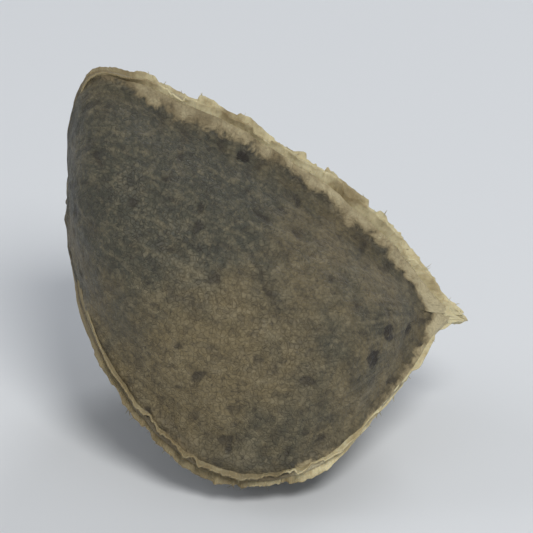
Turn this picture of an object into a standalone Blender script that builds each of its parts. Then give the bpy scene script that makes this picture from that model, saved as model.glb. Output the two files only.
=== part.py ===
"""A moringa seed with its papery wings broken off, lying on one of its three faces.

The seed grew as one piece: a hard, three-cornered coat, pointed at the tip and blunt at the base, with
the torn root of a wing along each corner. It is one solid. The coat is a sphere primitive whose points
are moved onto the seed by formula, and the wing roots are raised from that surface.

Metres, +Z up. The origin is on the floor under the middle of the seed, the tip points along +X and a
little downwards, and one wing root runs along the top. The lengths below are in millimetres.
"""

import math

import bmesh
import bpy
from mathutils import Matrix, Vector, noise

MM = 0.001

# The coat. Its three corners run from the tip to the base: one along the top, one low at the front and
# one low at the back
LENGTH = 9.9  # tip to base, without the wing roots
CORNERS = 3
CORNER_AZIMUTHS = [math.radians(a) for a in (0, 129, 244)]  # from the top, round the front
CORNER_RADII = (4.1, 4.85, 4.75)  # from the middle line to the corner, at its widest
WIDEST_AT = (0.66, 0.41, 0.52)  # share of the length from the tip to there
TIP_ROUNDING = (1.95, 2.9, 2.1)  # how the corner climbs from the tip: 1 is a cone, 2 a parabola
BASE_BLUNTNESS = (4.6, 2.5, 2.6)  # 2 is a round base and a larger number a flatter one
CORNER_TWIST = math.radians(8)  # the corners turn this much round the seed, tip to base
FACE_BULGE = 0.855  # middle of a face over a corner, from the middle line, at the base
TIP_FACE_BULGE = 0.79  # the same at the tip, where the faces are flatter
MIDDLE_LINE_SAG = 1.15  # the middle line bows down between tip and base
BASE_SLANT = 0.28  # the base leans back at the top by this share of the height

# The wing roots
ROOT_HEIGHT = 0.42  # of the torn edge above the coat
ROOT_RAGGEDNESS = 0.17  # how far the torn edge rises and falls
ROOT_CREST_WIDTH = 0.42  # flat crest
ROOT_FOOT_WIDTH = 0.98  # where its sides meet the coat
ROOT_NARROWING = 0.45  # share of its width that a root loses where it comes to the tip
ROOT_NARROW_UNTIL = 0.3  # share of the length
ROOT_FADE_FROM = 0.7  # share of the length where a root begins to run out over the base
ROOT_LEFT_AT_BASE = 0.1
TEAR_LENGTH = 1.9  # of a rise or a notch in the torn edge
TEAR_DRAW = 4.7  # how far apart in the noise the three torn edges are taken
TEAR_ROUGHENING = (0.6, 2.1, 3)  # fine over coarse, step between them, and how many
FLARE_HEIGHT = 0.16  # the coat itself pinches up a little towards each root
FLARE_WIDTH = 1.7
BEAK_HEIGHT = 0.22  # the roots end in a small beak at the tip
BEAK_WIDTH = 1.3
HEART = (-0.15, 0.2)  # line inside the seed that everything is raised away from, shares of the length

# Dents and furrows of the coat
DENT_DEPTH = 0.1
DENT_SIZE = 3.2
FURROW_DEPTH = 0.05
FURROW_SPACING = 1.5
FURROW_LENGTH = 6.0

# How it rests
REST_TILT = math.radians(18)  # the tip dips by this much when the seed lies on a face
REST_ROLL = math.radians(-7)  # and the top leans back by this much
FLAT_SPOT_DEPTH = 0.16  # worn off the belly, which leaves a flat spot about 1.9 by 3 mm

# The sphere that the seed is shaped from
COLUMNS_PER_FACE = 24
ROWS = 60
ROW_SPREAD_AT_TIP = 0.55  # rows at the tip stand this much apart, against evenly spread rows
COLUMN_CROWDING = 0.7  # columns stand closer together at the corners than mid-face

COAT_COLOUR = (0.12, 0.105, 0.075, 1.0)
COAT_ROUGHNESS = 0.62


def smooth_step(x):
    x = min(1.0, max(0.0, x))
    return x * x * (3 - 2 * x)


def corner_radius(k, t):
    """Distance of corner k from the middle line. t is 0 at the tip and 1 at the base."""
    k %= CORNERS
    widest = WIDEST_AT[k]
    if t < widest:
        return CORNER_RADII[k] * (1 - (1 - t / widest) ** TIP_ROUNDING[k])
    back = (t - widest) / (1 - widest)
    return CORNER_RADII[k] * max(0.0, 1 - back ** BASE_BLUNTNESS[k]) ** (1 / BASE_BLUNTNESS[k])


def face_profile(from_middle, half_angle, bulge):
    """Radius of a face over that of its corners: an arc through both, which bulge sets mid-face."""
    cosine = math.cos(half_angle)
    back = (1 - bulge**2) / (2 * (bulge - cosine))
    arc = bulge + back
    side = back * math.sin(from_middle)
    return math.sqrt(arc**2 - side**2) - back * math.cos(from_middle)


def along(share):
    """t of a row: the rows stand evenly at the pointed tip and close up on the blunt base."""
    return ROW_SPREAD_AT_TIP * share * (1 - share) ** 2 + smooth_step(share)


def corner_azimuth(k, t):
    """Where corner k stands round the seed at t, counting on past a full turn."""
    turns, k = divmod(k, CORNERS)
    return CORNER_AZIMUTHS[k] + turns * math.tau + CORNER_TWIST * (t - 0.5)


def coat_point(t, turn_share):
    """A point of the bare coat. turn_share is 0 to 1 round the seed, with a corner at every third."""
    face, share = divmod(turn_share * CORNERS, 1)
    share -= COLUMN_CROWDING * math.sin(math.tau * share) / math.tau
    start, end = corner_azimuth(int(face), t), corner_azimuth(int(face) + 1, t)
    half_angle = (end - start) / 2
    azimuth = start + (end - start) * share
    bulge = TIP_FACE_BULGE + (FACE_BULGE - TIP_FACE_BULGE) * smooth_step(t)
    from_corner = smooth_step(share)
    radius = (1 - from_corner) * corner_radius(int(face), t) + from_corner * corner_radius(int(face) + 1, t)
    radius *= face_profile(azimuth - start - half_angle, half_angle, bulge)
    height = radius * math.cos(azimuth) - MIDDLE_LINE_SAG * math.sin(math.pi * t)
    lean = BASE_SLANT * height * smooth_step(t)
    return Vector((LENGTH * (0.5 - t) - lean, -radius * math.sin(azimuth), height)) * MM


def relief(point):
    """Height in metres of the dents and of the lengthwise furrows at a point of the coat."""
    p = point / MM
    dents = noise.noise(p / DENT_SIZE)
    furrows = noise.noise(Vector((p.x / FURROW_LENGTH, p.y / FURROW_SPACING, p.z / FURROW_SPACING)))
    return (DENT_DEPTH * dents + FURROW_DEPTH * furrows) * MM


def root_rise(point, corner, k, t):
    """Height in metres of the pinched coat, the wing root and the beak, by the distance from corner k."""
    distance = (point - corner).length / MM
    flare = FLARE_HEIGHT * (1 - smooth_step(distance / (FLARE_WIDTH / 2)))
    left = 1 - (1 - ROOT_LEFT_AT_BASE) * smooth_step((t - ROOT_FADE_FROM) / (1 - ROOT_FADE_FROM))
    tear = noise.fractal(Vector((t * LENGTH / TEAR_LENGTH, TEAR_DRAW * (k + 1), 0.5)), *TEAR_ROUGHENING)
    width = 1 - ROOT_NARROWING * (1 - smooth_step(t / ROOT_NARROW_UNTIL))
    crest, foot = ROOT_CREST_WIDTH / 2 * width, ROOT_FOOT_WIDTH / 2 * width
    root = (ROOT_HEIGHT + ROOT_RAGGEDNESS * tear) * (1 - smooth_step((distance - crest) / (foot - crest)))
    to_tip = (point - coat_point(0, 0)).length / MM
    beak = BEAK_HEIGHT * (1 - smooth_step(to_tip / (BEAK_WIDTH / 2)))
    return ((flare + root) * left + beak) * MM


def away_from_heart(point):
    """Direction in which the surface is raised: straight away from the nearest point of the heart."""
    heart_x = min(HEART[1] * LENGTH, max(HEART[0] * LENGTH, point.x / MM))
    return (point - Vector((heart_x, 0, -MIDDLE_LINE_SAG / 2)) * MM).normalized()


def clear_scene():
    for obj in list(bpy.data.objects):
        bpy.data.objects.remove(obj, do_unlink=True)


def material(name, colour, roughness):
    made = bpy.data.materials.new(name)
    made.use_nodes = True
    shader = made.node_tree.nodes["Principled BSDF"]
    shader.inputs["Base Color"].default_value = colour
    shader.inputs["Roughness"].default_value = roughness
    shader.inputs["Metallic"].default_value = 0.0
    made.diffuse_color = colour
    return made


def shaped_coat():
    """The sphere with its points moved onto the seed, and for each point its t and nearest corner."""
    bm = bmesh.new()
    columns = CORNERS * COLUMNS_PER_FACE
    bmesh.ops.create_uvsphere(bm, u_segments=columns, v_segments=ROWS, radius=1.0)
    places = {}
    for vert in bm.verts:
        row = round(math.acos(max(-1.0, min(1.0, vert.co.z))) / math.pi * ROWS)
        column = round(math.atan2(vert.co.y, vert.co.x) / math.tau * columns) % columns
        t = along(row / ROWS)
        nearest = round(column / COLUMNS_PER_FACE)
        vert.co = coat_point(t, column / columns)
        places[vert] = (t, nearest)
    bmesh.ops.recalc_face_normals(bm, faces=bm.faces)
    return bm, places


def raise_relief(bm, places):
    """Raises every point by the dents, the furrows and the wing roots."""
    for vert, (t, nearest) in places.items():
        corner = coat_point(t, nearest / CORNERS % 1)
        rise = relief(vert.co) + root_rise(vert.co, corner, nearest % CORNERS, t)
        vert.co += away_from_heart(vert.co) * rise


def lay_down(bm):
    """Tilts the seed as it lies, wears the flat spot and centres the seed over the origin."""
    as_it_lies = Matrix.Rotation(REST_ROLL, 3, "X") @ Matrix.Rotation(REST_TILT, 3, "Y")
    bmesh.ops.rotate(bm, cent=(0, 0, 0), matrix=as_it_lies, verts=bm.verts)
    floor = min(vert.co.z for vert in bm.verts) + FLAT_SPOT_DEPTH * MM
    everything = bm.verts[:] + bm.edges[:] + bm.faces[:]
    cut = bmesh.ops.bisect_plane(
        bm, geom=everything, dist=1e-7, plane_co=(0, 0, floor), plane_no=(0, 0, 1), clear_inner=True
    )
    rim = [item for item in cut["geom_cut"] if isinstance(item, bmesh.types.BMEdge)]
    bmesh.ops.holes_fill(bm, edges=rim)
    middle = [(min(v.co[i] for v in bm.verts) + max(v.co[i] for v in bm.verts)) / 2 for i in (0, 1)]
    bmesh.ops.translate(bm, verts=bm.verts, vec=(-middle[0], -middle[1], -floor))
    bmesh.ops.recalc_face_normals(bm, faces=bm.faces)


def build_seed():
    bm, places = shaped_coat()
    raise_relief(bm, places)
    lay_down(bm)
    mesh = bpy.data.meshes.new("moringa_seed")
    bm.to_mesh(mesh)
    bm.free()
    mesh.shade_smooth()
    mesh.materials.append(material("seed_coat", COAT_COLOUR, COAT_ROUGHNESS))
    seed = bpy.data.objects.new("moringa_seed", mesh)
    collection = bpy.data.collections.new("Moringa seed")
    bpy.context.scene.collection.children.link(collection)
    collection.objects.link(seed)
    return seed


clear_scene()
build_seed()
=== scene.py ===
import math
import random

import bpy
import numpy as np
from mathutils import Matrix, Vector, noise


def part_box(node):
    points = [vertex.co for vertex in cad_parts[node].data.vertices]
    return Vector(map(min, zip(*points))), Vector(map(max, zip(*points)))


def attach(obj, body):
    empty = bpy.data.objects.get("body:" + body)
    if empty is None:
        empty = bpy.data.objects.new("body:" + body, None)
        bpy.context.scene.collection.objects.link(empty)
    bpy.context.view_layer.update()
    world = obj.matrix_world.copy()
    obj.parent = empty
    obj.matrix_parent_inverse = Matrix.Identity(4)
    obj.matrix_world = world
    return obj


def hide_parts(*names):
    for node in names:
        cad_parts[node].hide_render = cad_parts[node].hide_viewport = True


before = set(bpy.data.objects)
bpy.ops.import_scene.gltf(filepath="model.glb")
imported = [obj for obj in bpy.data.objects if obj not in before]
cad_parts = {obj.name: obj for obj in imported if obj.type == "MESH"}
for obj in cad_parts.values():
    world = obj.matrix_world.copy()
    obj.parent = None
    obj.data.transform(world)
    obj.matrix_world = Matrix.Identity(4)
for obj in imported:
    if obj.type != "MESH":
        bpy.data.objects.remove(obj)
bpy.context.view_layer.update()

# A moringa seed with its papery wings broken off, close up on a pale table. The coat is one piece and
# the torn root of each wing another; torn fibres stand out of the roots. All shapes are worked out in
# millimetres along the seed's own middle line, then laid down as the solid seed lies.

MM = 0.001
NODE = "moringa_seed"

# The seed's form, with the same values as the solid has. t runs from 0 at the tip to 1 at the base.
LENGTH = 9.9
CORNERS = 3
CORNER_AZIMUTHS = np.radians((0, 129, 244))  # from the top, round the front
CORNER_RADII = np.array((4.1, 4.85, 4.75))  # from the middle line to the corner, at its widest
WIDEST_AT = np.array((0.66, 0.41, 0.52))  # t of that place
TIP_ROUNDING = np.array((1.95, 2.9, 2.1))  # 1 is a cone and 2 a parabola
BASE_BLUNTNESS = np.array((4.6, 2.5, 2.6))  # 2 is a round base and a larger number a flatter one
CORNER_TWIST = math.radians(8)  # the corners turn this much round the seed, tip to base
FACE_BULGE = 0.855  # middle of a face over a corner, from the middle line, at the base
TIP_FACE_BULGE = 0.79  # the same at the tip
MIDDLE_LINE_SAG = 1.15
BASE_SLANT = 0.28  # the base leans back at the top by this share of the height
ROOT_HEIGHT = 0.42
ROOT_RAGGEDNESS = 0.17
ROOT_CREST_WIDTH = 0.42
ROOT_FOOT_WIDTH = 0.98
ROOT_NARROWING = 0.45  # share of its width that a root loses where it comes to the tip
ROOT_NARROW_UNTIL = 0.3
ROOT_FADE_FROM = 0.7  # t where a root begins to run out over the base
ROOT_LEFT_AT_BASE = 0.1
TEAR_LENGTH = 1.9  # of a rise or a notch in the torn edge
TEAR_DRAW = 4.7  # how far apart in the noise the three torn edges are taken
TEAR_ROUGHENING = (0.6, 2.1, 3)  # fine over coarse, step between them, and how many
FLARE_HEIGHT = 0.16  # the coat itself pinches up a little towards each root
FLARE_WIDTH = 1.7
BEAK_HEIGHT = 0.22  # the roots end in a small beak at the tip
BEAK_WIDTH = 1.3
HEART = (-0.15, 0.2)  # ends of a line inside the seed, shares of the length from its middle
DENT_DEPTH = 0.1
DENT_SIZE = 3.2
FURROW_DEPTH = 0.05
FURROW_SPACING = 1.5
FURROW_LENGTH = 6.0
REST_TILT = math.radians(18)  # the tip dips by this much
REST_ROLL = math.radians(-7)  # and the top leans back by this much
ROW_SPREAD_AT_TIP = 0.55  # rows at the tip stand this much apart, against evenly spread rows
SOLID_CROWDING = 0.7  # columns stand closer together at the corners than mid-face


def smooth_step(x):
    x = np.clip(x, 0, 1)
    return x * x * (3 - 2 * x)


def along(share):
    """t of a row: the rows stand evenly at the pointed tip and close up on the blunt base."""
    return ROW_SPREAD_AT_TIP * share * (1 - share) ** 2 + smooth_step(share)


def corner_radius(k, t):
    """Distance of corner k from the middle line."""
    widest = WIDEST_AT[k]
    climbing = 1 - (1 - np.minimum(t / widest, 1)) ** TIP_ROUNDING[k]
    back = np.clip((t - widest) / (1 - widest), 0, 1)
    closing = (1 - back ** BASE_BLUNTNESS[k]) ** (1 / BASE_BLUNTNESS[k])
    return CORNER_RADII[k] * np.where(t < widest, climbing, closing)


def corner_azimuth(k, t):
    return CORNER_AZIMUTHS[k % CORNERS] + k // CORNERS * math.tau + CORNER_TWIST * (t - 0.5)


def coat_points(t, turn, crowding):
    """Points of the bare coat. turn is 0 to 1 round the seed, with a corner at every third."""
    face, share = np.divmod(turn * CORNERS, 1)
    face = face.astype(int)
    share = share - crowding * np.sin(math.tau * share) / math.tau
    start, end = corner_azimuth(face, t), corner_azimuth(face + 1, t)
    half_angle = (end - start) / 2
    azimuth = start + (end - start) * share
    bulge = TIP_FACE_BULGE + (FACE_BULGE - TIP_FACE_BULGE) * smooth_step(t)
    back = (1 - bulge**2) / (2 * (bulge - np.cos(half_angle)))
    off_middle = azimuth - start - half_angle
    arc = np.sqrt((bulge + back) ** 2 - (back * np.sin(off_middle)) ** 2) - back * np.cos(off_middle)
    blend = smooth_step(share)
    radius = corner_radius(face % CORNERS, t) * (1 - blend) + corner_radius((face + 1) % CORNERS, t) * blend
    radius = radius * arc
    height = radius * np.cos(azimuth) - MIDDLE_LINE_SAG * np.sin(math.pi * t)
    lean = BASE_SLANT * height * smooth_step(t)
    return np.column_stack((LENGTH * (0.5 - t) - lean, -radius * np.sin(azimuth), height))


def away_from_heart(points):
    """Directions in which the surface is raised: straight away from a short line inside the seed."""
    heart = np.zeros_like(points)
    heart[:, 0] = np.clip(points[:, 0], HEART[0] * LENGTH, HEART[1] * LENGTH)
    heart[:, 2] = -MIDDLE_LINE_SAG / 2
    away = points - heart
    return away / np.linalg.norm(away, axis=1)[:, None]


def tear(k, t):
    """Rise and fall of the torn edge of root k, about -1 to 1."""
    at = ((s * LENGTH / TEAR_LENGTH, TEAR_DRAW * (k + 1), 0.5) for s in t.tolist())
    return np.array([noise.fractal(p, *TEAR_ROUGHENING) for p in at])


def root_left(t):
    """Share of a root's height that is left where it runs out over the base."""
    return 1 - (1 - ROOT_LEFT_AT_BASE) * smooth_step((t - ROOT_FADE_FROM) / (1 - ROOT_FADE_FROM))


def field(points, size, shift=0.0, octaves=1):
    """Noise about -1 to 1 at points in millimetres. size is one number or one for each axis."""
    scaled = (points / np.asarray(size, float) + shift).tolist()
    if octaves == 1:
        return np.array([noise.noise(p) for p in scaled])
    return np.array([noise.fractal(p, 0.7, 2.0, octaves) for p in scaled])


def soft_dents(points):
    """The dents and lengthwise furrows that the solid has too."""
    furrows = field(points, (FURROW_LENGTH, FURROW_SPACING, FURROW_SPACING))
    return DENT_DEPTH * field(points, DENT_SIZE) + FURROW_DEPTH * furrows


def from_end(points, t):
    """How far points are from the tip, t 0, or from the middle of the base, t 1."""
    end = coat_points(np.array([t]), np.zeros(1), SOLID_CROWDING)
    return np.linalg.norm(points - end, axis=1)


def beak_rise(points):
    """The small beak in which the roots end at the tip."""
    return BEAK_HEIGHT * (1 - smooth_step(from_end(points, 0.0) / (BEAK_WIDTH / 2)))


LIE = np.array(Matrix.Rotation(REST_ROLL, 3, "X") @ Matrix.Rotation(REST_TILT, 3, "Y"))


def base_form(t, turn, root_share, crowding):
    """The solid's surface with a share of the wing roots, the nearest corner and the distance from it."""
    points = coat_points(t, turn, crowding)
    nearest = np.rint(turn * CORNERS).astype(int) % CORNERS
    corner = coat_points(t, nearest / CORNERS, crowding)
    distance = np.linalg.norm(points - corner, axis=1)
    flare = FLARE_HEIGHT * (1 - smooth_step(distance / (FLARE_WIDTH / 2)))
    width = 1 - ROOT_NARROWING * (1 - smooth_step(t / ROOT_NARROW_UNTIL))
    crest, foot = ROOT_CREST_WIDTH / 2 * width, ROOT_FOOT_WIDTH / 2 * width
    side = 1 - smooth_step((distance - crest) / (foot - crest))
    torn = np.zeros_like(t)
    for k in range(CORNERS):
        torn[nearest == k] = tear(k, t[nearest == k])
    root = (ROOT_HEIGHT + ROOT_RAGGEDNESS * torn) * side * root_share
    rise = soft_dents(points) + (flare + root) * root_left(t) + beak_rise(points)
    return points + away_from_heart(points) * rise[:, None], nearest, distance


def place_of_solid():
    """How far the form, once turned, is moved to lie in the solid's box."""
    t, turn = np.meshgrid(np.linspace(0, 1, 120), np.arange(180) / 180)
    form, _, _ = base_form(t.ravel(), turn.ravel(), 1.0, SOLID_CROWDING)
    lying = form @ LIE.T * MM
    low, high = (np.array(corner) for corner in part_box(NODE))
    middle = (low + high) / 2 - (lying.min(0) + lying.max(0)) / 2
    return np.array((middle[0], middle[1], high[2] - lying[:, 2].max()))


OFFSET = place_of_solid()


def lay(points):
    """Points from millimetres in the seed's own frame to metres, as it lies."""
    return points @ LIE.T * MM + OFFSET


# Working with meshes

def alone(obj):
    bpy.ops.object.select_all(action="DESELECT")
    obj.select_set(True)
    bpy.context.view_layer.objects.active = obj


def get_points(mesh):
    flat = np.empty(len(mesh.vertices) * 3)
    mesh.vertices.foreach_get("co", flat)
    return flat.reshape(-1, 3)


def set_points(mesh, points):
    mesh.vertices.foreach_set("co", points.astype(np.float32).ravel())
    mesh.update()


def get_normals(mesh):
    flat = np.empty(len(mesh.vertices) * 3)
    mesh.vertex_normals.foreach_get("vector", flat)
    return flat.reshape(-1, 3)


def keep(mesh, name, values):
    """Stores a number or a direction for each point, for the material to read."""
    values = np.asarray(values, np.float32)
    if values.ndim == 1:
        mesh.attributes.new(name, "FLOAT", "POINT").data.foreach_set("value", values)
    else:
        mesh.attributes.new(name, "FLOAT_VECTOR", "POINT").data.foreach_set("vector", values.ravel())


def normals_outward(obj):
    alone(obj)
    bpy.ops.object.mode_set(mode="EDIT")
    bpy.ops.mesh.select_all(action="SELECT")
    bpy.ops.mesh.normals_make_consistent(inside=False)
    bpy.ops.object.mode_set(mode="OBJECT")


def joined(pieces):
    bpy.ops.object.select_all(action="DESELECT")
    for piece in pieces:
        piece.select_set(True)
    bpy.context.view_layer.objects.active = pieces[0]
    bpy.ops.object.join()
    return pieces[0]


# The coat

COAT_COLUMNS = 384
COAT_ROWS = 240
COAT_CROWDING = 0.35  # columns crowd towards the corners, by less than on the solid
COAT_ROOT_SHARE = 0.45  # the papery fins stand on this much of the root
ROUND_SEED = 4.6  # radius of a circle as long as the way round the seed
MIDDLE_WIDTH = 0.16  # share of a face to either side of its middle, where the skins of two wings meet

# The film is skin of the wing that still clings to the coat beside the root
FILM_REACH = np.array((0.36, 0.18, 0.27))  # from the top, the front and the back root
FILM_WANDER = 0.1  # its edge wanders in and out by this
FILM_STREAKS = 0.06  # and is torn off in streaks
FILM_TEARS = 0.13  # and in wider tears
FILM_KEPT_AT_BASE = 0.25  # share of its reach that doesn't shrink as the root does over the base
FILM_AT_TIP = 0.4  # it reaches this much further round the tip
FILM_TIP_SIZE = 1.1
FILM_EDGE_WIDTH = 0.09  # over which it thins out
FILM_THICKNESS = 0.03
# Where it reaches further: share of the length, share of a turn, size and how much further
FILM_FLAPS = ((0.74, 0.02, 1.5, 0.22),)

# Relief of the coat
WRINKLE_DEPTH = 0.012
WRINKLE_SIZE = (0.36, 0.36, 3.4)  # the last is lengthwise
FOLD_DEPTH = 0.042
FOLD_SIZE = (0.4, 1.5, 1.0)  # along the root and away from it; the last tells the roots' sides apart
PEBBLE_DEPTH = 0.021
PEBBLE_SIZE = 0.34
PIT_DEPTH = 0.035
PIT_SIZE = 0.42
BUMP_DEPTH = 0.05
BUMP_SIZE = 1.25
SCAR_SIZE = 0.55  # where the seed hung, in the middle of the base
SCAR_RING_HEIGHT = 0.06
SCAR_DIMPLE_DEPTH = 0.09
MARK_DEPTH = 0.03
TONE_HEIGHT = 0.05  # the finish gets the relief as a share of this

# Patches: share of the length, share of a turn, size, and how much warmer than the rest. The two warm ones
# make the lower middle of the front face browner and lighter, partly the coat's own colour and partly
# painted light; the two below 0 are painted shade, darker and greyer over the upper part of the front face
# towards the base.
PATCHES_OF_WARMTH_AND_SHADING = (
    (0.65, 0.24, 1.9, 1.0),
    (0.5, 0.19, 2.0, 0.3),
    (0.62, 0.12, 2.0, -0.65),
    (0.87, 0.14, 2.4, -0.9),
)
# Dark marks: share of the length, share of a turn and size
NEAR_TIP_MARKS = ((0.145, 0.222, 0.27), (0.12, 0.2, 0.24), (0.06, 0.21, 0.18))
OTHER_MARKS = ((0.57, 0.056, 0.2), (0.42, 0.47, 0.2), (0.7, 0.85, 0.18))

# Wear makes a root browner. The values are for the top, the front and the back
SIDE_WEAR = np.array((0.35, 0.85, 0.5))
SIDE_WORN_FROM = np.array((0.0, 0.2, 0.0))
SIDE_WEAR_COMES_IN = 0.2
BASE_WEAR = 0.6
BASE_WORN_FROM = 0.74
BASE_WEAR_COMES_IN = 0.22


def worn(k, t):
    """How worn root k is: more over the base than along the sides, and not at all at the tip."""
    side = SIDE_WEAR[k] * smooth_step((t - SIDE_WORN_FROM[k]) / SIDE_WEAR_COMES_IN)
    return side + BASE_WEAR * smooth_step((t - BASE_WORN_FROM) / BASE_WEAR_COMES_IN)


def nearness(points, t, turn, size):
    """1 at a place on the coat, falling to 0 about two sizes away."""
    place = coat_points(np.array([t]), np.array([turn]), SOLID_CROWDING)
    return np.exp(-((np.linalg.norm(points - place, axis=1) / size) ** 2))


def inside_film(points, t, nearest, by_root, off_middle):
    """How far inside the film's torn edge the points are: below 0 they are on the bare coat."""
    along_root = by_root * (1, 0, 1)
    streaks = smooth_step(field(along_root, 0.8, 50.0) + 0.4) * field(by_root, (0.24, 0.4, 1.0), 12.0, 3)
    wander = field(along_root, 1.7, 0.3)
    reach = FILM_REACH[nearest] + off_middle * (FILM_WANDER * wander + FILM_STREAKS * streaks)
    reach += FILM_TEARS * field(points, 0.7, 5.0, 4)
    for place_t, place_turn, size, further in FILM_FLAPS:
        reach += further * nearness(points, place_t, place_turn, size)
    left = FILM_KEPT_AT_BASE + (1 - FILM_KEPT_AT_BASE) * root_left(t)
    at_tip = FILM_AT_TIP * (1 - smooth_step(from_end(points, 0.0) / FILM_TIP_SIZE))
    return reach * left - by_root[:, 1] + at_tip


def fine_relief(points, t, lengthwise, by_root, off_middle, film_edge):
    """Height of the wrinkles, folds, pebbling and pits."""
    bare = 1 - 0.7 * smooth_step(film_edge / 0.1 + 0.5)
    # Lengthwise wrinkles, which run together at the tip and at the base
    girth = np.linalg.norm(points[:, 1:] - [0, -MIDDLE_LINE_SAG / 2], axis=1)
    lines = (1 - np.abs(field(lengthwise, WRINKLE_SIZE, 11.0, 2))) ** 3 - 0.5
    calm = 0.5 + 0.5 * field(points, 2.1, 31.0)
    wrinkles = WRINKLE_DEPTH * lines * calm * smooth_step(girth / 2.2) * bare
    # Short folds across, beside each root, where the wing pulled on the coat
    distance = by_root[:, 1]
    beside = smooth_step((distance - 0.25) / 0.25) * (1 - smooth_step((distance - 0.55) / 1.3))
    folds = FOLD_DEPTH * field(by_root, FOLD_SIZE, 5.0, 2) * beside * root_left(t) * off_middle
    pebbles = PEBBLE_DEPTH * field(points, PEBBLE_SIZE, 3.0, 3) * bare
    pits = PIT_DEPTH * smooth_step((field(points, PIT_SIZE, 71.0) - 0.4) / 0.25) * bare
    return wrinkles + folds + pebbles - pits


def marks_on_coat(points):
    """About 1 in the dark marks, broken up by fine noise, and 0 away from them."""
    marks = np.zeros(len(points))
    for place in NEAR_TIP_MARKS + OTHER_MARKS:
        marks = np.maximum(marks, nearness(points, *place))
    return marks * (1 + 0.9 * field(points, 0.13, 44.0, 3))


def warmth_and_shading_of_coat(points):
    """About 0 where the coat is greyest and darkest and 1 where it is brownest and lightest. The patches
    add painted light to the lower middle of the front face and painted shade to its upper part towards the
    base.
    """
    warmth_and_painted_shading = 0.42 + 0.5 * field(points, 3.0, 21.0, 2)
    for place_t, place_turn, size, warmth_and_shading_step in PATCHES_OF_WARMTH_AND_SHADING:
        warmth_and_painted_shading += warmth_and_shading_step * nearness(points, place_t, place_turn, size)
    return warmth_and_painted_shading


def make_coat():
    bpy.ops.object.select_all(action="DESELECT")
    bpy.ops.mesh.primitive_uv_sphere_add(segments=COAT_COLUMNS, ring_count=COAT_ROWS, radius=1)
    coat = bpy.context.object
    coat.name = coat.data.name = "seed_coat"
    mesh = coat.data
    ball = get_points(mesh)
    row = np.rint(np.arccos(np.clip(ball[:, 2], -1, 1)) / math.pi * COAT_ROWS) / COAT_ROWS
    column = np.rint(np.arctan2(ball[:, 1], ball[:, 0]) / math.tau * COAT_COLUMNS) % COAT_COLUMNS
    turn = column / COAT_COLUMNS
    t = along(row)
    points, nearest, distance = base_form(t, turn, COAT_ROOT_SHARE, COAT_CROWDING)
    set_points(mesh, points)
    normals_outward(coat)
    normals = get_normals(mesh)

    length = t * LENGTH
    angle = math.tau * turn
    lengthwise = np.column_stack((np.cos(angle) * ROUND_SEED, np.sin(angle) * ROUND_SEED, length))
    share = turn * CORNERS % 1
    # 0 in the middle of a face and 1 away from it
    off_middle = smooth_step(np.abs(share - 0.5) / MIDDLE_WIDTH)
    # Along the nearest root, away from it, and a number of its own for each side of each root
    by_root = np.column_stack((length, distance, 9.0 * nearest + 4.0 * np.sign(0.5 - share)))

    film_edge = inside_film(points, t, nearest, by_root, off_middle)
    film = FILM_THICKNESS * smooth_step(film_edge / FILM_EDGE_WIDTH + 0.5)
    raised = fine_relief(points, t, lengthwise, by_root, off_middle, film_edge)
    bumps = BUMP_DEPTH * field(points, BUMP_SIZE, 17.0, 2)
    # The scar is a dimple in a low ring
    to_scar = from_end(points, 1.0) / SCAR_SIZE
    ring = SCAR_RING_HEIGHT * np.exp(-(((to_scar - 1) / 0.3) ** 2))
    dimple = SCAR_DIMPLE_DEPTH * (1 - smooth_step(to_scar / 0.8))
    marks = marks_on_coat(points)
    rise = raised + bumps + film + ring - dimple - MARK_DEPTH * marks
    set_points(mesh, lay(points + normals * rise[:, None]))

    keep(mesh, "weave", np.column_stack((length, distance, np.zeros_like(t))))
    keep(mesh, "worn", worn(nearest, t))
    keep(mesh, "lengthwise", lengthwise)
    keep(mesh, "film_edge", film_edge)
    keep(mesh, "raised", raised / TONE_HEIGHT)
    keep(mesh, "marks", marks)
    keep(mesh, "warmth_and_painted_shading", warmth_and_shading_of_coat(points))
    keep(mesh, "scar", 1 - to_scar / 2)
    flatten_belly(mesh)
    alone(coat)
    bpy.ops.object.shade_smooth()
    normals_outward(coat)
    return coat


def flatten_belly(mesh):
    """The belly is worn flat where the seed lies."""
    points = get_points(mesh)
    points[:, 2] = np.maximum(points[:, 2], 0.0)
    set_points(mesh, points)


# The torn wing roots. Each has two skins, which stand on the corner as fins and lean apart

FIN_ROWS = 640
FIN_STEPS = 12
FIN_FROM = 0.004  # t where the fins begin
FIN_SPAN = 0.985  # and how far they go
PAPER_THICKNESS = 0.15  # at the foot
PAPER_THINNING = 0.75  # share of it lost at the torn edge
HEIGHT_LEFT = (1.0, 0.76, 0.92)  # top, front and back: the front wing is torn off lowest
FOOT_SHARE = 0.4  # the foot is inside the coat, at about this share of the height of its ridge

# The torn edge: how far it rises and falls, and the size of a rise
SLOW_TEAR = (0.09, 0.75)
FINE_TEAR = (0.04, 0.2)
SNAG_HEIGHT = 0.1
SNAG_SIZE = 0.09
TORN_LOWER = 0.32  # in places the skin is torn off lower, by this share of its height
TORN_LOWER_SIZE = 1.1
FINE_TEAR_KEPT = 0.35  # share of the fine tear that doesn't shrink as the root does over the base
SINK_AT_END = 0.08  # into the coat, where the fins end on the base
SINK_FROM = 0.95

# How the skins lean apart
HALF_GAP = 0.06  # at the foot
LEAN = 0.1  # further at the torn edge
CURL = 0.12  # and further again, unevenly
NARROW_AT_TIP = 0.35  # share of all three at the tip
CRINKLE = (0.04, 0.3)  # how far the skin waves to and fro, and the size of a wave
FINE_CRINKLE = (0.02, 0.11)

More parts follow.
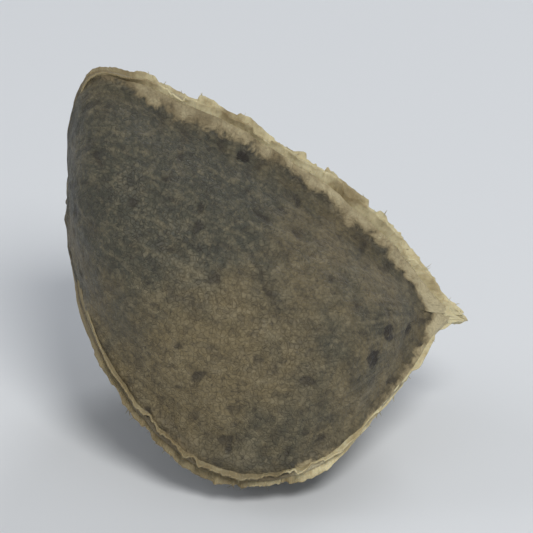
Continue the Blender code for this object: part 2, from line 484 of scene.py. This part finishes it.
# The torn fibres. Each pair is the least and the most
STRANDS_PER_ROOT = 38
FIRST_STRAND_DRAW = 40
STRANDS_ALONG = (0.01, 0.8)  # t
STRANDS_UP = (0.7, 0.97)  # how high they stand on the skin, as a share of its height
STRAND_LEAN = (-0.2, 0.9)  # away from the other skin
STRAND_SLANT = (-1.1, 1.1)  # along the root
STRAND_BEND_ALONG = (-0.5, 0.5)
STRAND_BEND_ACROSS = (-0.3, 0.3)
STRAND_THICKNESS = (0.02, 0.04)
STRAND_LENGTH = (0.08, 0.2)

# The torn point at the tip
SPUR_FROM = 0.05
SPUR_LENGTH = 0.85
SPUR_HOOK = 0.1
SPUR_FOOT_RADIUS = 0.3
SPUR_POINT_RADIUS = 0.1
SPUR_RAGGEDNESS = 0.5


def wave(line, depth_and_size, shift, octaves=1):
    """A rise and fall along a line, of a depth and a size."""
    depth, size = depth_and_size
    return depth * field(line, size, shift, octaves)


def fin_form(k, side, t, up):
    """Points of one skin of the wing on corner k, torn off low, and the direction it stands in there.

    up is 0 at the foot, inside the coat, and 1 at the torn edge. side is -1 or 1.
    """
    turn = np.full_like(t, k / CORNERS)
    foot = coat_points(t, turn, COAT_CROWDING)
    out = away_from_heart(foot)
    step = coat_points(np.clip(t + 0.003, 0, 1), turn, COAT_CROWDING) - foot
    across = np.cross(step, out)
    across /= np.linalg.norm(across, axis=1)[:, None] + 1e-9

    line = np.column_stack((t * LENGTH, np.full_like(t, 3.1 * k + side), np.zeros_like(t)))
    height = HEIGHT_LEFT[k] * (ROOT_HEIGHT + ROOT_RAGGEDNESS * tear(k, t))
    snags = SNAG_HEIGHT * np.clip(field(line, SNAG_SIZE, 15.0) - 0.2, 0, None)
    torn_low = TORN_LOWER * smooth_step((field(line, TORN_LOWER_SIZE, 40.0, 2) - 0.15) / 0.09)
    top = FLARE_HEIGHT + (height + wave(line, SLOW_TEAR, 2.0, 3)) * (1 - torn_low)
    low = FOOT_SHARE * (FLARE_HEIGHT + COAT_ROOT_SHARE * height)
    left = root_left(t)
    rise = (low + (top - low) * up) * left
    fine_left = FINE_TEAR_KEPT + (1 - FINE_TEAR_KEPT) * left
    rise += (wave(line, FINE_TEAR, 8.0, 2) + snags) * up * fine_left
    rise += beak_rise(foot) + soft_dents(foot) - SINK_AT_END * smooth_step((t - SINK_FROM) / 0.035)
    narrow = NARROW_AT_TIP + (1 - NARROW_AT_TIP) * smooth_step(t / ROOT_NARROW_UNTIL)
    curl = CURL * up**2 * (0.6 + field(line, 0.8, 60.0, 2))
    apart = (HALF_GAP + LEAN * up + curl) * side * narrow
    apart += up * (wave(line, CRINKLE, 90.0) + wave(line, FINE_CRINKLE, 33.0))
    return foot + out * rise[:, None] + across * apart[:, None], out, across, rise


def fin_sheet(k, side, name):
    """One of the two skins of a wing: a strip along corner k, from the tip to the base."""
    bpy.ops.object.select_all(action="DESELECT")
    bpy.ops.mesh.primitive_grid_add(x_subdivisions=FIN_ROWS, y_subdivisions=FIN_STEPS, size=2)
    fin = bpy.context.object
    fin.name = fin.data.name = name
    mesh = fin.data
    flat = get_points(mesh)
    row, up = (flat[:, 0] + 1) / 2, (flat[:, 1] + 1) / 2
    t = FIN_FROM + FIN_SPAN * along(row)
    points, _, _, rise = fin_form(k, side, t, up)
    set_points(mesh, lay(points))
    keep(mesh, "up", up)
    keep(mesh, "worn", worn(k, t))
    keep(mesh, "weave", np.column_stack((t * LENGTH, rise, np.full_like(t, 7.0 * k + side))))
    thick = fin.vertex_groups.new(name="thick")
    for index, share in enumerate(up.tolist()):
        thick.add([index], 1 - PAPER_THINNING * share, "REPLACE")
    alone(fin)
    paper = fin.modifiers.new("Paper", "SOLIDIFY")
    paper.thickness = PAPER_THICKNESS * MM
    paper.offset = 0
    paper.vertex_group = thick.name
    bpy.ops.object.modifier_apply(modifier=paper.name)
    return fin


def model_strand():
    """One torn fibre, upright, one long and one thick at the foot, for copying."""
    bpy.ops.object.select_all(action="DESELECT")
    bpy.ops.mesh.primitive_cone_add(vertices=5, radius1=0.5, radius2=0.12, depth=1, location=(0, 0, 0.5))
    strand = bpy.context.object
    bpy.ops.object.transform_apply(location=True)
    bpy.ops.object.mode_set(mode="EDIT")
    for height in (0.25, 0.5, 0.75):
        bpy.ops.mesh.select_all(action="SELECT")
        bpy.ops.mesh.bisect(plane_co=(0, 0, height), plane_no=(0, 0, 1))
    bpy.ops.object.mode_set(mode="OBJECT")
    return strand


def strands_of_root(k, strand, name):
    """Copies of the fibre, standing out of the torn edge of root k."""
    draw = random.Random(FIRST_STRAND_DRAW + k)
    copies = []
    for number in range(STRANDS_PER_ROOT):
        side = draw.choice((-1, 1))
        t = np.array([draw.uniform(*STRANDS_ALONG)])
        foot, out, across, _ = fin_form(k, side, t, np.array([draw.uniform(*STRANDS_UP)]))
        ahead = np.cross(out[0], across[0])
        stand = out[0] + across[0] * side * draw.uniform(*STRAND_LEAN) + ahead * draw.uniform(*STRAND_SLANT)
        stand /= np.linalg.norm(stand)
        bend = ahead * draw.uniform(*STRAND_BEND_ALONG) + across[0] * draw.uniform(*STRAND_BEND_ACROSS)
        thick, long = draw.uniform(*STRAND_THICKNESS), draw.uniform(*STRAND_LENGTH)
        across_one = np.cross(stand, ahead)
        across_one /= np.linalg.norm(across_one)
        across_two = np.cross(stand, across_one)

        copy = strand.copy()
        copy.data = strand.data.copy()
        copy.name = copy.data.name = f"{name}_strand_{number}"
        bpy.context.scene.collection.objects.link(copy)
        x, y, z = get_points(copy.data).T[:, :, None]
        body = (x * across_one + y * across_two) * thick + (z * stand + z**2 * bend) * long
        set_points(copy.data, lay(foot + body))
        keep(copy.data, "up", np.full(len(x), 0.9))
        keep(copy.data, "worn", np.full(len(x), worn(k, t)[0]))
        keep(copy.data, "weave", np.column_stack((x + number, z, np.full_like(x, 7.0 * k))))
        copies.append(copy)
    return copies


def make_spur(name):
    """The small torn point in which the three roots end at the tip."""
    bpy.ops.object.select_all(action="DESELECT")
    bpy.ops.mesh.primitive_uv_sphere_add(segments=48, ring_count=40, radius=1)
    spur = bpy.context.object
    spur.name = spur.data.name = name
    ball = get_points(spur.data)
    share = (ball[:, 2] + 1) / 2
    tip = coat_points(np.zeros(1), np.zeros(1), COAT_CROWDING)
    out = away_from_heart(tip)[0]
    across_one = np.cross(out, (0, 1, 0))
    across_two = np.cross(out, across_one)
    tapered = SPUR_FOOT_RADIUS + (SPUR_POINT_RADIUS - SPUR_FOOT_RADIUS) * share
    radius = np.sqrt(np.clip(1 - ball[:, 2] ** 2, 0, 1)) * tapered
    radius *= 1 + SPUR_RAGGEDNESS * field(ball, (0.5, 0.5, 1.6), 3.0, 3)
    angle = np.arctan2(ball[:, 1], ball[:, 0])
    centre = tip + out * (SPUR_FROM + SPUR_LENGTH * share)[:, None]
    centre = centre - across_one * (SPUR_HOOK * share**2)[:, None]
    body = across_one * (np.cos(angle) * radius)[:, None] + across_two * (np.sin(angle) * radius)[:, None]
    set_points(spur.data, lay(centre + body))
    keep(spur.data, "up", 0.5 + 0.5 * share)
    keep(spur.data, "worn", np.zeros_like(share))
    keep(spur.data, "weave", np.column_stack((angle * 0.3, share, np.full_like(share, 30.0))))
    return spur


def make_root(k, name, strand):
    """A wing root: its two torn skins and its fibres, joined."""
    pieces = [fin_sheet(k, -1, name), fin_sheet(k, 1, name + "_far")]
    pieces += strands_of_root(k, strand, name)
    if k == 0:
        pieces.append(make_spur(name + "_spur"))
    root = joined(pieces)
    normals_outward(root)
    bpy.ops.object.shade_smooth()
    return root


# Finishes

def new_finish(name, roughness, specular):
    finish = bpy.data.materials.new(name)
    finish.use_nodes = True
    shader = finish.node_tree.nodes["Principled BSDF"]
    shader.inputs["Roughness"].default_value = roughness
    shader.inputs["Specular IOR Level"].default_value = specular
    return finish, shader


class Sheet:
    """A node tree that is filled in from left to right."""

    def __init__(self, tree):
        self.tree = tree
        self.link = tree.links.new

    def node(self, kind, **settings):
        made = self.tree.nodes.new(kind)
        for name, value in settings.items():
            setattr(made, name, value)
        return made

    def stretched(self, vector, scale):
        placed = self.node("ShaderNodeMapping")
        placed.inputs["Scale"].default_value = scale
        self.link(vector, placed.inputs["Vector"])
        return placed.outputs["Vector"]

    def millimetres(self):
        return self.stretched(self.node("ShaderNodeTexCoord").outputs["Object"], (1000, 1000, 1000))

    def noise(self, vector, scale, detail=2.0, rough=0.5, twist=0.0, output="Fac"):
        made = self.node("ShaderNodeTexNoise")
        made.inputs["Scale"].default_value = scale
        made.inputs["Detail"].default_value = detail
        made.inputs["Roughness"].default_value = rough
        made.inputs["Distortion"].default_value = twist
        self.link(vector, made.inputs["Vector"])
        return made.outputs[output]

    def cells(self, vector, scale, feature):
        made = self.node("ShaderNodeTexVoronoi", feature=feature)
        made.inputs["Scale"].default_value = scale
        self.link(vector, made.inputs["Vector"])
        return made

    def number(self, name):
        return self.node("ShaderNodeAttribute", attribute_name=name).outputs["Fac"]

    def direction(self, name):
        return self.node("ShaderNodeAttribute", attribute_name=name).outputs["Vector"]

    def ramp(self, value, low, high, out_low=0.0, out_high=1.0):
        made = self.node("ShaderNodeMapRange", interpolation_type="SMOOTHSTEP")
        sockets = ("From Min", "From Max", "To Min", "To Max")
        for name, number in zip(sockets, (low, high, out_low, out_high)):
            made.inputs[name].default_value = number
        self.link(value, made.inputs["Value"])
        return made.outputs["Result"]

    def worked_out(self, operation, first, second):
        made = self.node("ShaderNodeMath", operation=operation)
        for socket, value in zip(made.inputs, (first, second)):
            if isinstance(value, (int, float)):
                socket.default_value = value
            else:
                self.link(value, socket)
        return made.outputs["Value"]

    def sum(self, first, second):
        return self.worked_out("ADD", first, second)

    def product(self, first, second):
        return self.worked_out("MULTIPLY", first, second)

    def mix(self, factor, first, second):
        made = self.node("ShaderNodeMix", data_type="RGBA")
        for socket, value in zip((made.inputs[0], made.inputs[6], made.inputs[7]), (factor, first, second)):
            if isinstance(value, (int, float, tuple)):
                socket.default_value = value
            else:
                self.link(value, socket)
        return made.outputs[2]

    def bump(self, height, depth, under=None):
        """depth is in millimetres."""
        made = self.node("ShaderNodeBump")
        made.inputs["Distance"].default_value = depth * MM
        self.link(height, made.inputs["Height"])
        if under is not None:
            self.link(under, made.inputs["Normal"])
        return made.outputs["Normal"]


def colour(r, g, b):
    """A colour seen on a screen, 0 to 255, as light."""
    as_light = [((c / 255 + 0.055) / 1.055) ** 2.4 for c in (r, g, b)]
    return (*as_light, 1.0)


OLIVE_GREY = colour(66, 66, 55)
WARM_BROWN = colour(110, 98, 70)
DEEP_BROWN = colour(45, 40, 33)
DUSTY_TAN = colour(134, 124, 98)
MARK_BROWN = colour(32, 27, 22)
FILM_CREAM = colour(192, 180, 146)
FILM_TAN = colour(150, 136, 104)
FILM_BROWN = colour(108, 95, 70)
ROOT_CREAM = colour(204, 194, 158)
ROOT_TAN = colour(166, 150, 112)
ROOT_BROWN = colour(102, 85, 60)
WORN_BROWN = colour(112, 99, 73)
CELLS_PER_MM = 10.0


def tinted(s, body, value, light, dark):
    """body, lighter where a value is high and darker where it is low: each from, to and by how much."""
    body = s.mix(s.ramp(value, light[0], light[1], 0.0, light[2]), body, DUSTY_TAN)
    return s.mix(s.ramp(value, dark[0], dark[1], 0.0, dark[2]), body, DEEP_BROWN)


def bare_coat(s, where, mottle, clouds, streaks):
    """Colour of the coat with its patches, clouds, streaks and grains, before its relief and marks."""
    # Warmth with painted light and shade: the patches lighten the lower middle of the front face and darken
    # its upper part towards the base.
    warm_and_shaded = s.sum(s.number("warmth_and_painted_shading"), s.ramp(mottle, 0.3, 0.7, -0.35, 0.35))
    body = s.mix(s.ramp(warm_and_shaded, -0.25, 1.2), OLIVE_GREY, WARM_BROWN)
    body = tinted(s, body, clouds, (0.5, 0.7, 0.4), (0.48, 0.3, 0.45))
    body = tinted(s, body, streaks, (0.5, 0.74, 0.32), (0.48, 0.28, 0.35))
    grains = s.noise(where, 9.0, 4.0, 0.7)
    return tinted(s, body, grains, (0.53, 0.7, 0.35), (0.47, 0.32, 0.55))


def film_over(s, body, mottle, clouds, fibres):
    """The coat with the torn film over it, and how far the film covers the coat."""
    tatters = s.sum(s.ramp(fibres, 0.25, 0.75, -0.015, 0.015), s.ramp(clouds, 0.3, 0.7, -0.09, 0.09))
    edge = s.sum(s.number("film_edge"), tatters)
    # Partly dirt and partly painted shade: the bare coat is darker just outside the film's torn edge, as a
    # contact shadow where the film meets it.
    body = s.mix(s.ramp(edge, -0.22, -0.03, 0.0, 0.24), body, DEEP_BROWN)
    film = s.mix(s.ramp(edge, 0.02, 0.26), FILM_TAN, FILM_CREAM)
    film = s.mix(s.ramp(fibres, 0.5, 0.3, 0.0, 0.5), film, FILM_TAN)
    stain = s.sum(s.product(s.number("worn"), 0.6), mottle)
    film = s.mix(s.ramp(stain, 0.5, 1.0, 0.0, 0.9), film, FILM_BROWN)
    cover = s.ramp(edge, -0.05, 0.1, 0.0, 0.92)
    return s.mix(cover, body, film), cover


def coat_finish():
    finish, shader = new_finish("Seed coat", 0.6, 0.35)
    s = Sheet(finish.node_tree)
    where = s.millimetres()
    mottle = s.noise(where, 1.1, 6.0, 0.62, 0.4)
    clouds = s.noise(where, 2.4, 5.0, 0.6, 0.6)
    streaks = s.noise(s.stretched(s.direction("lengthwise"), (4.5, 4.5, 0.8)), 1.0, 4.0, 0.62)
    body = bare_coat(s, where, mottle, clouds, streaks)
    # Small cells, each a little lighter or darker than the next, with a dark net between them
    warped = s.mix(0.15, where, s.noise(where, 5.5, output="Color"))
    cell = s.cells(warped, CELLS_PER_MM, "F1").outputs["Color"]
    body = tinted(s, body, cell, (0.5, 1.0, 0.24), (0.5, 0.0, 0.32))
    within = s.ramp(s.cells(warped, CELLS_PER_MM, "DISTANCE_TO_EDGE").outputs["Distance"], 0.0, 0.16)
    body = s.mix(s.ramp(within, 1.0, 0.0, 0.0, 0.16), body, DEEP_BROWN)
    # Lighter on the high places of the relief and darker in the low ones.
    body = tinted(s, body, s.number("raised"), (0.1, 0.9, 0.4), (-0.1, -0.9, 0.7))
    body = s.mix(s.ramp(s.sum(s.number("scar"), mottle), 0.85, 1.25, 0.0, 0.8), body, FILM_TAN)
    body = s.mix(s.ramp(s.number("marks"), 0.3, 0.62, 0.0, 0.85), body, MARK_BROWN)
    fibres = s.noise(s.stretched(s.direction("weave"), (11.0, 1.4, 1.0)), 1.0, 3.0, 0.65)
    body, cover = film_over(s, body, mottle, clouds, fibres)
    s.link(body, shader.inputs["Base Color"])

    rough = s.sum(s.ramp(s.noise(where, 2.6, 4.0), 0.3, 0.7, 0.48, 0.66), s.product(cover, 0.15))
    s.link(rough, shader.inputs["Roughness"])
    shader.inputs["Sheen Weight"].default_value = 0.08
    shader.inputs["Sheen Roughness"].default_value = 0.45
    net = s.bump(within, 0.012)
    lines = s.bump(streaks, 0.03, net)
    paper = s.bump(s.product(fibres, cover), 0.04, lines)
    grain = s.bump(s.noise(where, 14.0, 5.0, 0.65), 0.022, paper)
    s.link(grain, shader.inputs["Normal"])
    return finish


def root_finish():
    finish, shader = new_finish("Torn wing root", 0.75, 0.2)
    s = Sheet(finish.node_tree)
    where = s.millimetres()
    weave = s.direction("weave")
    up = s.number("up")
    stain = s.noise(where, 1.3, 5.0, 0.62)
    body = s.mix(s.ramp(stain, 0.42, 0.68, 0.0, 0.8), ROOT_CREAM, ROOT_TAN)
    age = s.sum(s.product(s.number("worn"), 0.6), stain)
    body = s.mix(s.ramp(age, 0.5, 1.0, 0.0, 0.8), body, WORN_BROWN)
    fibres = s.noise(s.stretched(weave, (12.0, 2.2, 1.0)), 1.0, 3.0, 0.65)
    body = s.mix(s.ramp(fibres, 0.52, 0.75, 0.0, 0.6), body, ROOT_TAN)
    body = s.mix(s.ramp(fibres, 0.42, 0.25, 0.0, 0.35), body, ROOT_BROWN)
    # Painted shade: the skins are darker towards their foot, where they meet the coat.
    foot = s.sum(up, s.ramp(stain, 0.3, 0.7, -0.2, 0.2))
    body = s.mix(s.ramp(foot, 0.55, 0.1, 0.0, 0.55), body, ROOT_BROWN)
    specks = s.noise(where, 6.0, 3.0, 0.6)
    body = s.mix(s.ramp(specks, 0.66, 0.74, 0.0, 0.7), body, ROOT_BROWN)
    s.link(body, shader.inputs["Base Color"])
    shader.inputs["Subsurface Weight"].default_value = 0.2
    shader.inputs["Subsurface Radius"].default_value = (1.0, 0.75, 0.45)
    shader.inputs["Subsurface Scale"].default_value = 0.15 * MM
    ribs = s.bump(fibres, 0.05)
    grain = s.bump(s.noise(where, 18.0, 3.0, 0.7), 0.012, ribs)
    s.link(grain, shader.inputs["Normal"])
    return finish


# The table, the light and the camera

def make_table():
    bpy.ops.object.select_all(action="DESELECT")
    bpy.ops.mesh.primitive_plane_add(size=0.6, location=(0, 0, 0))
    table = bpy.context.object
    table.name = "table"
    finish, shader = new_finish("Pale table", 0.6, 0.3)
    shader.inputs["Base Color"].default_value = colour(222, 225, 229)
    table.data.materials.append(finish)


CAMERA_ELEVATION = math.radians(26)
CAMERA_DISTANCE = 0.153
LENS_MM = 400
AIM = Vector((0.0, 0.0, 0.0048))


def soft_light(name, place, size, watts, tint):
    lamp = bpy.data.lights.new(name, "AREA")
    lamp.shape = "DISK"
    lamp.size = size
    lamp.energy = watts
    lamp.color = tint
    holder = bpy.data.objects.new(name, lamp)
    bpy.context.scene.collection.objects.link(holder)
    holder.location = place
    holder.rotation_euler = (AIM - Vector(place)).to_track_quat("-Z", "Y").to_euler()


def light_and_camera():
    soft_light("key", (0.03, -0.125, 0.135), 0.06, 0.21, (1.0, 0.985, 0.95))
    soft_light("fill", (0.13, -0.14, 0.06), 0.12, 0.05, (0.95, 0.97, 1.0))
    soft_light("rim", (0.07, 0.13, 0.10), 0.09, 0.09, (0.98, 0.99, 1.0))
    soft_light("base_side", (-0.12, 0.03, 0.07), 0.1, 0.045, (0.97, 0.98, 1.0))
    world = bpy.data.worlds.new("Soft room")
    world.use_nodes = True
    world.node_tree.nodes["Background"].inputs["Color"].default_value = (0.9, 0.94, 1.0, 1.0)
    world.node_tree.nodes["Background"].inputs["Strength"].default_value = 0.24
    bpy.context.scene.world = world
    bpy.context.scene.view_settings.view_transform = "Standard"

    lens = bpy.data.cameras.new("Camera")
    lens.lens = LENS_MM
    lens.clip_start = 0.002
    camera = bpy.data.objects.new("Camera", lens)
    bpy.context.scene.collection.objects.link(camera)
    back = Vector((0, -math.cos(CAMERA_ELEVATION), math.sin(CAMERA_ELEVATION)))
    camera.location = AIM + back * CAMERA_DISTANCE
    camera.rotation_euler = (-back).to_track_quat("-Z", "Y").to_euler()
    bpy.context.scene.camera = camera


coat = make_coat()
coat.data.materials.append(coat_finish())
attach(coat, "root")
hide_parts(NODE)

strand = model_strand()
root_material = root_finish()
for k, name in enumerate(("wing_root_top", "wing_root_front", "wing_root_back")):
    root = make_root(k, name, strand)
    root.data.materials.append(root_material)
    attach(root, "root")
bpy.data.objects.remove(strand)

make_table()
light_and_camera()
